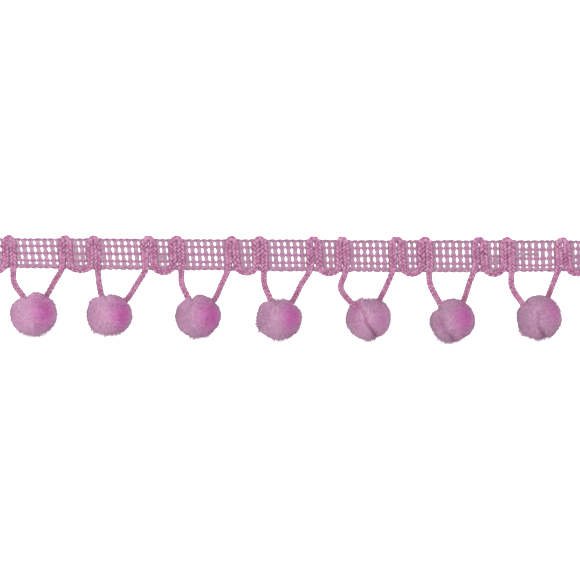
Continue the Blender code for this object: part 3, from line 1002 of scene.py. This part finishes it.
    def bundle_between(self, before: Column, after: Column, leans: tuple[bool, bool]) -> list[list[Vector]]:
        """The strands of yarn across the tape between two columns of holes.

        Args:
            before: The column on the left, or the tape's cut end.
            after: The column on the right, or the tape's cut end.
            leans: Whether the left and the right side of the bundle lean as the columns do.

        Returns:
            The points of each strand.
        """
        widest = after.along - before.along - 2 * self.slit - 2 * self.strand
        count = max(2, math.ceil(widest / self.bundle) + 1)
        lean = self.lean + self.straighten * (before.along + after.along) / 2
        far, pitch, start = self.wander_along
        far_up, pitch_up, start_up = self.wander_up
        strands = []
        for k in range(count):
            points = []
            for n in range(self.bundle_steps + 1):
                y = self.low + (self.high - self.low) * n / self.bundle_steps
                low = before.along + self.half_hole(before, y) + self.strand + leans[0] * lean * y
                high = after.along - self.half_hole(after, y) - self.strand + leans[1] * lean * y
                x = low + (high - low) * k / (count - 1) + drift(far, before.along + k, y * pitch, start)
                up = drift(far_up, before.along * self.wander_next + k, y * pitch_up, start_up)
                points.append(self.place(x, y, self.height + up))
            strands.append(points)
        return strands

    def bundles(self) -> list[list[Vector]]:
        """The strands of all the bundles, and of the stray thread over them."""
        edges = [Column(self.left, SHUT), *self.columns(), Column(self.right, SHUT)]
        strands = []
        for before, after in zip(edges, edges[1:]):
            strands += self.bundle_between(before, after, (before is not edges[0], after is not edges[-1]))
        return strands + self.stray.lines()

    def darken_edges(self, edges: bpy.types.Object) -> None:
        """Shades the two edges more towards the right, and the top one most.

        Args:
            edges: The edges' mesh, with its shade.
        """
        start, reach, most = self.edge_fade
        for vert, value in zip(edges.data.vertices, edges.data.attributes["shade"].data):
            share = share_past(vert.co.x / MM, start, reach)
            value.value *= 1.0 - most * share - (self.high_edge_fade if vert.co.y > 0 else 0.0)

    def shade_rungs(self, rungs: bpy.types.Object) -> None:
        """Shades the bundles by their height, and tints them at the ribs and under the cord's loops.

        Args:
            rungs: The bundles' mesh.
        """
        start, reach, most = self.rung_fade
        shades, tints = [], []
        for vert in rungs.data.vertices:
            x, y, z = vert.co / MM
            dull = 1.0 - most * share_past(x, start, reach)
            shades.append(dull * max(self.rung_least, share_past(z, *self.rung_depth)))
            level = (y + sag(x, y)) / (1 + self.flare * x)
            tints.append(max(self.nearest_rib(level), float(self.under_pair(x))))
        store(rungs, "shade", shades)
        store(rungs, "tint", tints)

    def build(self) -> list[bpy.types.Object]:
        """Builds the ribs, the edges and the bundles across them.

        Returns:
            The three pieces.
        """
        draw = random.Random(11)
        ribs = self.chains("tape_ribs", self.ribs, draw)
        edges = self.chains("tape_edges", self.edges, draw)
        self.darken_edges(edges)
        rungs = strands_mesh("tape_rungs", self.bundles(), self.strand, 1)
        self.shade_rungs(rungs)
        dress(ribs, self.rib_finish.build())
        dress(edges, self.edge_finish.build())
        dress(rungs, self.rung_finish.build())
        return [ribs, edges, rungs]


@dataclass
class PlaitedCord:
    """The one continuous cord: loops over the tape, legs to the pompoms and scallops between repeats."""

    height: float = 1.5
    run_foot: float = -2.0
    run_lean: float = 0.08  # along, from a run's middle to its foot
    bow_lean: float = 0.2
    pinch: float = 0.06  # how much closer the two runs of a loop lie at their feet
    hang: float = 0.7  # the share of the tape's own sag that the cord follows
    scallop_foot: float = -1.7
    scallop_hip: Span = (0.3, -2.95)
    scallop_round: Span = (0.24, 0.78)  # a point beside its middle: shares of the way along and down
    shoulder: float = 1.5
    rise: tuple[Span, ...] = ((0.0, 1.5), (0.0, 2.55), (0.22, 3.17))  # of a loop, from its first run
    crown: tuple[Span, ...] = ((-0.24, 3.35), (0.2, 3.33))  # from the middle between its runs
    fall: tuple[Span, ...] = ((-0.3, 3.14), (-0.02, 2.5), (0.0, 1.5))  # from its second run
    core: Span = (0.6, 0.2)  # of the cord inside a pompom, across and up from its centre
    step: float = 0.16
    yarn: Yarn = Yarn(0.34, 0.34, 0.2, 2.4, rounding=2)
    flat_share: float = 1.45  # how much wider it lies on the tape, at the least
    flattest: float = 1.75
    flat_foot: float = -4.2  # across, where it starts to lie flat
    flat_top: float = 2.9  # across, where it is round again
    flat_reach: Span = (1.6, 1.2)  # over how much it gets flat and round
    waist: Triple = (-2.13, 0.35, 0.15)  # across, where it narrows at its feet, over how much, and how much
    bend: Span = (2.7, 0.4)  # across, from where and over how much it bends over in a loop
    bend_share: Span = (0.3, 0.17)  # how much narrower and how much thicker it is there
    leg_top: Span = (3.2, 1.2)  # down from the tape's middle, where the legs start, and over how much
    leg_shade: float = 0.9
    leg_relief: float = 1.3  # how much deeper the crevices of the legs look
    mouth: Span = (2.4, 1.6)  # how far from a pompom its shade reaches, and over how much it fades
    mouth_shade: float = 0.42  # where it comes out of a pompom
    crown_top: Span = (3.5, 0.4)  # across, where the far edge of its loops starts, and over how much
    crown_shade: float = 0.3  # at the far edge of its loops over the tape
    finish: YarnFinish = YarnFinish(
        "cord_yarn", (0.465, 0.228, 0.358), (0.305, 0.105, 0.21), (0.19, 0.055, 0.115))

    def on_tape(self, x: float, y: float) -> Vector:
        """A point of the cord where it lies on the tape."""
        return Vector((x, y - self.hang * sag(x, y), self.height))

    def loop_over(self, low: float, high: float) -> list[Vector]:
        """A low dome over the tape's top edge.

        Args:
            low: The place along of the loop's first run.
            high: The place along of its second run.

        Returns:
            The points of the dome.
        """
        bends = ((low - self.run_lean, self.rise), ((low + high) / 2 - self.run_lean, self.crown),
                 (high - self.run_lean, self.fall))
        return [Vector((at + x, y, self.height)) for at, points in bends for x, y in points]

    def scallop(self, low: float, high: float, bow: float) -> list[Vector]:
        """The shallow bow below the tape, between two straight runs.

        Args:
            low: The place along of the run before it.
            high: The place along of the run after it.
            bow: The lowest point's place across.

        Returns:
            The points of the bow.
        """
        hip, hip_across = self.scallop_hip
        low += self.bow_lean
        beside = hip + self.scallop_round[0] * (high - low - 2 * hip)
        round_across = hip_across + self.scallop_round[1] * (bow - hip_across)
        half = ((0.0, self.scallop_foot), (hip, hip_across), (beside, round_across))
        left = [(low + x, y) for x, y in half]
        right = [(high - x, y) for x, y in reversed(half)]
        return [self.on_tape(x, y) for x, y in (*left, ((low + high) / 2, bow), *right)]

    def pinched(self, index: int, runs: Span) -> Span:
        """The places along the tape of a loop's two runs, a little closer together."""
        return middle_of(index) + runs[0] + self.pinch, middle_of(index) + runs[1] - self.pinch

    def route(self) -> list[Vector]:
        """The points that the whole cord passes through, from its left end to its right end."""
        before = middle_of(-1) + REPEATS[-1].runs_out[1]
        end = middle_of(POMPOM_COUNT) + REPEATS[0].runs_in[0]
        bow = REPEATS[-1].bow
        points = [Vector((before, self.shoulder, self.height))]
        for index, (row, ball) in enumerate(zip(REPEATS, BALLS)):
            shift = Vector((middle_of(index), 0.0, 0.0))
            runs_in = self.pinched(index, row.runs_in)
            runs_out = self.pinched(index, row.runs_out)
            inside = (ball.centre[0], ball.centre[1] + self.core[0], Pompom.rise + self.core[1])
            points += self.scallop(before, runs_in[0], bow)
            points += self.loop_over(*runs_in)
            points.append(self.on_tape(runs_in[1] + self.run_lean, self.run_foot))
            points += [Vector(point) + shift for point in (*row.leg_in, row.dive, inside, *row.leg_out)]
            points.append(self.on_tape(runs_out[0] + self.run_lean, self.run_foot))
            points += self.loop_over(*runs_out)
            before, bow = runs_out[1], row.bow
        points += self.scallop(before, end, bow)
        points.append(Vector((end, self.shoulder, self.height)))
        return points

    def darken_legs(self, cord: bpy.types.Object) -> None:
        """Paints shade on the legs, deeper in their crevices, more at a leg's end where it comes out of a
        pompom's right side, and along the far edge of the loops over the tape.

        Args:
            cord: The cord's mesh, with its shade.
        """
        mouths = []
        for index, row in enumerate(REPEATS):
            mouths.append(Vector(row.leg_out[0]) + Vector((middle_of(index), 0.0, 0.0)))
        for vert, value in zip(cord.data.vertices, cord.data.attributes["shade"].data):
            place = vert.co / MM
            below = share_past(-place.y, *self.leg_top)
            nearest = min((place - mouth).length for mouth in mouths)
            close = share_past(-nearest, -self.mouth[0], self.mouth[1])
            crown = share_past(place.y, *self.crown_top)
            value.value **= 1.0 + self.leg_relief * below
            value.value *= (1.0 - (1.0 - self.leg_shade) * below) * (1.0 - (1.0 - self.mouth_shade) * close)
            value.value *= 1.0 - (1.0 - self.crown_shade) * crown

    def thickness(self, sample: Sample, pairs: list[Span]) -> Span:
        """How wide the cord lies and how thick its strands are at a sample.

        Args:
            sample: The sample.
            pairs: The places along of the two runs of every loop.

        Returns:
            The share of the usual spread, and of the strands' radius.
        """
        across = sample.place.y
        flat_from = share_past(across, self.flat_foot, self.flat_reach[0])
        flat_to = share_past(-across, -self.flat_top, self.flat_reach[1])
        low, high = min(pairs, key=lambda pair: abs(sample.place.x - (pair[0] + pair[1]) / 2))
        touch = ((high - low) / 2 - self.yarn.radius) / self.yarn.spread
        foot, foot_reach, narrower = self.waist
        flat = max(self.flat_share, min(self.flattest, touch)) - narrower * bell(across - foot, foot_reach)
        bent = share_past(across, *self.bend)
        wide = 1.0 + (flat - 1.0) * flat_from * flat_to - self.bend_share[0] * bent
        return wide, 1.0 + self.bend_share[1] * bent

    def build(self) -> bpy.types.Object:
        """Plaits the cord along its route."""
        samples = even_samples(smooth_line(self.route()), self.step)
        pairs = pairs_of_runs()
        shares = [self.thickness(sample, pairs) for sample in samples]
        widths, thick = [wide for wide, _ in shares], [thick for _, thick in shares]
        log.info("cord: %.0f mm along its route", samples[-1].along)
        strands = self.yarn.lines(samples, widths=widths)
        cord = strands_mesh("plaited_cord", strands, self.yarn.radius, self.yarn.rounding, thick)
        shade_crevices(cord, samples, self.yarn, widths)
        self.darken_legs(cord)
        dress(cord, self.finish.build())
        return cord


@dataclass
class Pompom:
    """A ball of shorn pile: a lumpy body with its parting and notches pressed in, and fibres all over."""

    index: int
    rise: float = 4.45
    half_height: float = 4.7
    fineness: int = 6  # the subdivisions of the ball it starts as
    body: float = 0.94
    lump: float = 0.05
    lump_pitch: float = 1.9
    grain: tuple[Span, ...] = ((0.05, 16.0), (0.035, 38.0))  # how deep the body's grain is, and its pitch
    lift: float = 0.12  # of the body over the surface
    parting_low: float = -1.0  # up from the centre, where a parting ends
    parting_width: Span = (0.34, 0.26)  # the least, and how much it grows with the depth
    parting_depth: float = 0.34
    dent_fade: Span = (1.0, 0.7)  # how steep the side is, in radians, where dents end, and over how much
    mouth: Span = (0.3, 0.75)  # how deep and how far round the cord presses in
    rim: float = 0.45  # how high the rim goes, as a share of the half height
    fibres: float = 46.0  # to a square millimetre
    fibre: Span = (0.07, 0.5)  # radius and length
    tufts: Span = (0.82, 1.14)  # the shortest and longest fibres, as shares of that length
    fray: float = 0.5  # how much further that range spreads round the rim
    tuft_scale: float = 2000.0  # the tufts in a metre
    tuft_ends: Span = (0.33, 0.67)  # of their noise, where they are shortest and longest
    wisps: float = 8.0  # to a square millimetre, where the pile is ragged
    wisp: Span = (0.1, 1.6)
    sink: float = 0.3  # how much of a fibre is in the body
    leans: Span = (0.42, 0.6)  # of the fibres and of the wisps
    tips: Triple = (1.0, 0.2, 0.6)  # in the painted root shade, how light the tips of the fibres and of the wisps are, and the body
    nap_sheen_low: float = 0.05  # how near the rim a sheen patch's centre may lie
    finish: PileFinish = field(default_factory=PileFinish)

    @property
    def row(self) -> Repeat:
        """This pompom's repeat."""
        return REPEATS[self.index]

    @property
    def ball(self) -> Ball:
        """What this pompom looks like from above."""
        return BALLS[self.index]

    @property
    def name(self) -> str:
        """The name of its node."""
        return f"pompom_{self.index + 1}"

    @property
    def centre(self) -> Vector:
        """Its centre, in millimetres."""
        return Vector((middle_of(self.index) + self.ball.centre[0], self.ball.centre[1], self.rise))

    @property
    def half(self) -> Vector:
        """Half its size along, across and up."""
        return Vector((self.ball.size[0] / 2, self.ball.size[1] / 2, self.half_height))

    def on_surface(self, direction: Vector) -> Vector:
        """The point of the plain ball in a direction, from the centre."""
        return Vector((direction.x * self.half.x, direction.y * self.half.y, direction.z * self.half.z))

    def parting_share(self, place: Vector) -> float:
        """How deep the parting is at a point of the surface, from 0 away from it or underneath.

        Args:
            place: The point, from the centre.

        Returns:
            The depth, as a share of the deepest.
        """
        if place.z < self.parting_low:
            return 0.0
        deepest = 0.0
        least, growth = self.parting_width
        for start, end in zip(self.ball.parting, self.ball.parting[1:]):
            first = Vector(start[:2])
            along = Vector(end[:2]) - first
            share = share_past((place.xy - first).dot(along), 0.0, along.length_squared)
            gap = (place.xy - first - along * share).length
            depth = start[2] + (end[2] - start[2]) * share
            deepest = max(deepest, depth * bell(gap, least + growth * depth))
        return deepest

    def pressed(self, direction: Vector) -> float:
        """How deep the dents and the cord's two mouths press into the pile, in millimetres.

        Args:
            direction: From the centre, of length one.

        Returns:
            The depth.
        """
        place = self.on_surface(direction)
        depth = 0.0
        steep = abs(math.asin(max(-1.0, min(1.0, direction.z))))
        fade = eased(share_past(-steep, -self.dent_fade[0], self.dent_fade[1]))
        for angle, deep, reach in self.ball.dents:
            turn = math.atan2(place.y, place.x) - math.radians(angle)
            turn = (turn + math.pi) % math.tau - math.pi
            depth += deep * fade * bell(turn * self.half.x, reach)
        middle = Vector((*self.ball.centre, self.rise))
        for mouth in (self.row.leg_in[-1], self.row.leg_out[0]):
            entry = self.on_surface((Vector(mouth) - middle).normalized())
            depth += self.mouth[0] * bell((place - entry).length, self.mouth[1])
        return depth

    def raggedness(self, place: Vector) -> float:
        """How ragged the pile is at a point of the surface, from 0 to 1.

        Args:
            place: The point, from the centre.

        Returns:
            The share.
        """
        found = 0.0
        for angle, reach in self.ball.ragged:
            turn = math.radians(angle)
            middle = Vector((math.cos(turn) * self.half.x, math.sin(turn) * self.half.y))
            found = max(found, bell((place.xy - middle).length, reach))
        return found

    def build_body(self) -> bpy.types.Object:
        """The solid ball of pile under the fibres."""
        deselect_all()
        bpy.ops.mesh.primitive_ico_sphere_add(subdivisions=self.fineness, radius=1.0)
        body = bpy.context.object
        body.name = self.name + "_pile"
        seed = Vector((self.index + 1, 0, 0))
        partings, ragged, rims = [], [], []
        for vert in body.data.vertices:
            direction = vert.co.normalized()
            swell = self.body * (1 + drift(self.lump, *(direction * self.lump_pitch + seed)))
            surface = self.on_surface(direction)
            parted = self.parting_share(surface)
            grain = sum(drift(most, *(direction * pitch + seed)) for most, pitch in self.grain)
            out = grain - self.pressed(direction) - self.parting_depth * parted
            place = surface * swell + direction * out + self.centre
            place.z = max(place.z, self.lift)
            vert.co = place * MM
            partings.append(parted)
            ragged.append(self.raggedness(surface))
            rims.append(1.0 - share_past(abs(direction.z), 0.0, self.rim))
        store(body, "parting", partings)
        store(body, "ragged", ragged)
        store(body, "rim", rims)
        pick(body)
        bpy.ops.object.shade_smooth()
        return body

    def marked(self, tree: bpy.types.NodeTree, shape: bpy.types.NodeSocket,
               tip: Any) -> bpy.types.NodeSocket:
        """Adds the node that stores how light a shape's points are in the painted root shade.

        Args:
            tree: The modifier's nodes.
            shape: The shape's socket.
            tip: How light they are, a number or a socket.

        Returns:
            The shape's new socket.
        """
        given = {"Geometry": shape, "Name": "tip", "Value": tip}
        mark = add_node(tree, "GeometryNodeStoreNamedAttribute", given, data_type="FLOAT", domain="POINT")
        return mark.outputs["Geometry"]

    def spike(self, tree: bpy.types.NodeTree, radius: float, length: float,
              tip: float) -> bpy.types.NodeSocket:
        """Adds the nodes of one fibre, a closed thin cone sunk a little into the body.

        Args:
            tree: The modifier's nodes.
            radius: The fibre's radius at its root.
            length: Its length.
            tip: How light its tip is.

        Returns:
            The socket that gives it.
        """
        cone = add_node(tree, "GeometryNodeMeshCone", {
            "Vertices": 3, "Radius Bottom": radius * MM, "Depth": length * MM})
        place = add_node(tree, "GeometryNodeInputPosition").outputs["Position"]
        height = add_node(tree, "ShaderNodeSeparateXYZ", {0: place}).outputs["Z"]
        share = add_maths(tree, "MULTIPLY", height, tip / (length * MM))
        return add_node(tree, "GeometryNodeTransform", {
            "Geometry": self.marked(tree, cone.outputs["Mesh"], share),
            "Translation": (0, 0, -self.sink * length * MM)}).outputs["Geometry"]

    def read_body(self, tree: bpy.types.NodeTree, name: str) -> bpy.types.NodeSocket:
        """Adds the node that reads one of the body's attributes."""
        read = add_node(tree, "GeometryNodeInputNamedAttribute", {"Name": name}, data_type="FLOAT")
        return read.outputs["Attribute"]

    def stand(self, tree: bpy.types.NodeTree, body: bpy.types.NodeSocket, fibre: bpy.types.NodeSocket,
              density: Any, lean_by: float, seed: int) -> bpy.types.NodeSocket:
        """Adds the nodes that stand fibres all over the body.

        Args:
            tree: The modifier's nodes.
            body: The body's socket.
            fibre: The fibre's socket.
            density: The fibres to a square metre, a number or a socket.
            lean_by: How far they lean at random.
            seed: What the random draws start from.

        Returns:
            The socket that gives them.
        """
        scatter = add_node(tree, "GeometryNodeDistributePointsOnFaces", {
            "Mesh": body, "Density": density, "Seed": seed})
        lean = add_node(tree, "FunctionNodeRandomValue", {
            "Min": (-lean_by,) * 3, "Max": (lean_by,) * 3, "Seed": seed + 1}, data_type="FLOAT_VECTOR")
        leaning = add_vector_maths(tree, "ADD", scatter.outputs["Normal"], lean.outputs["Value"])
        align = add_node(tree, "FunctionNodeAlignRotationToVector", {
            "Vector": leaning.outputs["Vector"]}, axis="Z")
        rim = self.read_body(tree, "rim")
        spread = zip((-self.fray, self.fray), self.tufts)
        lengths = tuple(add_maths(tree, "MULTIPLY_ADD", rim, by, tuft) for by, tuft in spread)
        size = add_range(tree, add_noise(tree, self.tuft_scale, 2.0), self.tuft_ends, lengths)
        placed = add_node(tree, "GeometryNodeInstanceOnPoints", {
            "Points": scatter.outputs["Points"], "Instance": fibre, "Rotation": align.outputs["Rotation"],
            "Scale": size})
        real = add_node(tree, "GeometryNodeRealizeInstances", {"Geometry": placed.outputs["Instances"]})
        return real.outputs["Geometry"]

    def fibre_nodes(self) -> bpy.types.NodeTree:
        """The modifier that stands fibres all over the body, and joins them to it."""
        tree = bpy.data.node_groups.new(self.name + "_fibres", "GeometryNodeTree")
        for way in ("INPUT", "OUTPUT"):
            tree.interface.new_socket("Geometry", in_out=way, socket_type="NodeSocketGeometry")
        body = add_node(tree, "NodeGroupInput").outputs[0]
        made = add_node(tree, "NodeGroupOutput")
        short_tip, long_tip, body_tip = self.tips
        short = self.spike(tree, *self.fibre, short_tip)
        long = self.spike(tree, *self.wisp, long_tip)
        seed = 10 * self.index
        where_ragged = add_maths(tree, "MULTIPLY", self.read_body(tree, "ragged"), self.wisps * PER_MM2)
        fur = self.stand(tree, body, short, self.fibres * PER_MM2, self.leans[0], seed)
        loose = self.stand(tree, body, long, where_ragged, self.leans[1], seed + 5)
        both = add_node(tree, "GeometryNodeJoinGeometry")
        for part in (self.marked(tree, body, body_tip), fur, loose):
            tree.links.new(part, both.inputs[0])
        tree.links.new(both.outputs[0], made.inputs[0])
        return tree

    def nap_sheen_patches(self) -> list[tuple[Vector, float, float]]:
        """The centre, reach and strength of each patch of the painted nap sheen on the ball's top, in
        metres.
        """
        found = []
        for x, y, reach, strength in self.ball.nap_sheen_patches:
            level = max(self.nap_sheen_low, 1 - (x / self.half.x) ** 2 - (y / self.half.y) ** 2)
            top = self.half.z * math.sqrt(level)
            found.append(((self.centre + Vector((x, y, top))) * MM, reach * MM, strength))
        return found

    def build(self) -> bpy.types.Object:
        """Builds the pompom."""
        pile = self.build_body()
        stand = pile.modifiers.new("Fibres", "NODES")
        stand.node_group = self.fibre_nodes()
        pick(pile)
        bpy.ops.object.modifier_apply(modifier=stand.name)
        for vert in pile.data.vertices:
            if vert.co.z < 0:
                vert.co.z = 0.0
        dress(pile, self.finish.build(pile.name, self.nap_sheen_patches(), self.ball.tone, self.rise * MM,
                                      self.half_height * MM))
        return pile


@dataclass
class Studio:
    """A bright pale floor, soft light from above and the camera straight over the trim."""

    floor: float = 1.6
    floor_drop: float = 0.0001  # below the trim's back
    floor_tone: float = 0.93
    floor_roughness: float = 0.9
    floor_shine: float = 0.1
    white: Colour = (1.0, 1.0, 1.0)
    glow: float = 0.5  # of the floor, so that it stays white
    aim: Span = (0.00063, -0.00776)
    distance: float = 0.7006
    lens: float = 200.0
    turn: float = 0.00405
    farthest: float = 10.0  # what the camera still sees
    lamp: Place = (-0.02, 0.05, 1.0)
    lamp_size: float = 0.4
    lamp_energy: float = 15.0
    surround: float = 0.3

    def build_floor(self) -> None:
        """The floor."""
        deselect_all()
        bpy.ops.mesh.primitive_plane_add(size=self.floor, location=(0, 0, -self.floor_drop))
        floor = bpy.context.object
        floor.name = "floor"
        dress(floor, start_material("floor", {
            "Base Color": opaque((self.floor_tone,) * 3), "Roughness": self.floor_roughness,
            "Specular IOR Level": self.floor_shine, "Emission Color": opaque(self.white),
            "Emission Strength": self.glow}))

    def build_light(self) -> None:
        """The light: a weak even surround, and one soft lamp high above, a little to the upper left."""
        world = bpy.data.worlds.new("surround")
        bpy.context.scene.world = world
        world.use_nodes = True
        sky = world.node_tree.nodes["Background"]
        sky.inputs["Color"].default_value = opaque(self.white)
        sky.inputs["Strength"].default_value = self.surround
        deselect_all()
        bpy.ops.object.light_add(type="AREA", location=self.lamp)
        lamp = bpy.context.object
        lamp.data.shape = "DISK"
        lamp.data.size = self.lamp_size
        lamp.data.energy = self.lamp_energy
        lamp.rotation_euler = (-lamp.location).to_track_quat("-Z", "Y").to_euler()

    def build_camera(self) -> None:
        """The camera, over the middle of the photograph's frame."""
        deselect_all()
        bpy.ops.object.camera_add(location=(*self.aim, self.distance), rotation=(0, 0, self.turn))
        camera = bpy.context.object
        camera.data.lens = self.lens
        camera.data.sensor_width = 36.0
        camera.data.clip_end = self.farthest
        bpy.context.scene.camera = camera

    def build(self) -> None:
        """Builds the studio."""
        self.build_floor()
        self.build_light()
        self.build_camera()
        bpy.context.scene.view_settings.view_transform = "Standard"


def settle(piece: bpy.types.Object, slot: str, *nodes: str) -> None:
    """Puts a finished piece on the body, in place of its solids, and logs it.

    Args:
        piece: The piece.
        slot: The material slot that its look belongs to; not used.
        nodes: The solids that it stands for.
    """
    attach(piece, BODY)
    if nodes:
        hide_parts(*nodes)
    piece.data.calc_loop_triangles()
    log.info("%s: %d triangles", piece.name, len(piece.data.loop_triangles))


def main() -> None:
    """Builds the trim round its frame, piece by piece."""
    logging.basicConfig(level=logging.INFO, format="%(message)s")
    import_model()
    Studio().build()
    ribs, edges, rungs = NetTape().build()
    settle(ribs, "tape_yarn", "tape")
    settle(edges, "tape_yarn")
    settle(rungs, "tape_yarn")
    settle(PlaitedCord().build(), "cord_yarn", "cord")
    for index in range(POMPOM_COUNT):
        pompom = Pompom(index)
        settle(pompom.build(), "pile", pompom.name)


if __name__ == "__main__":
    main()
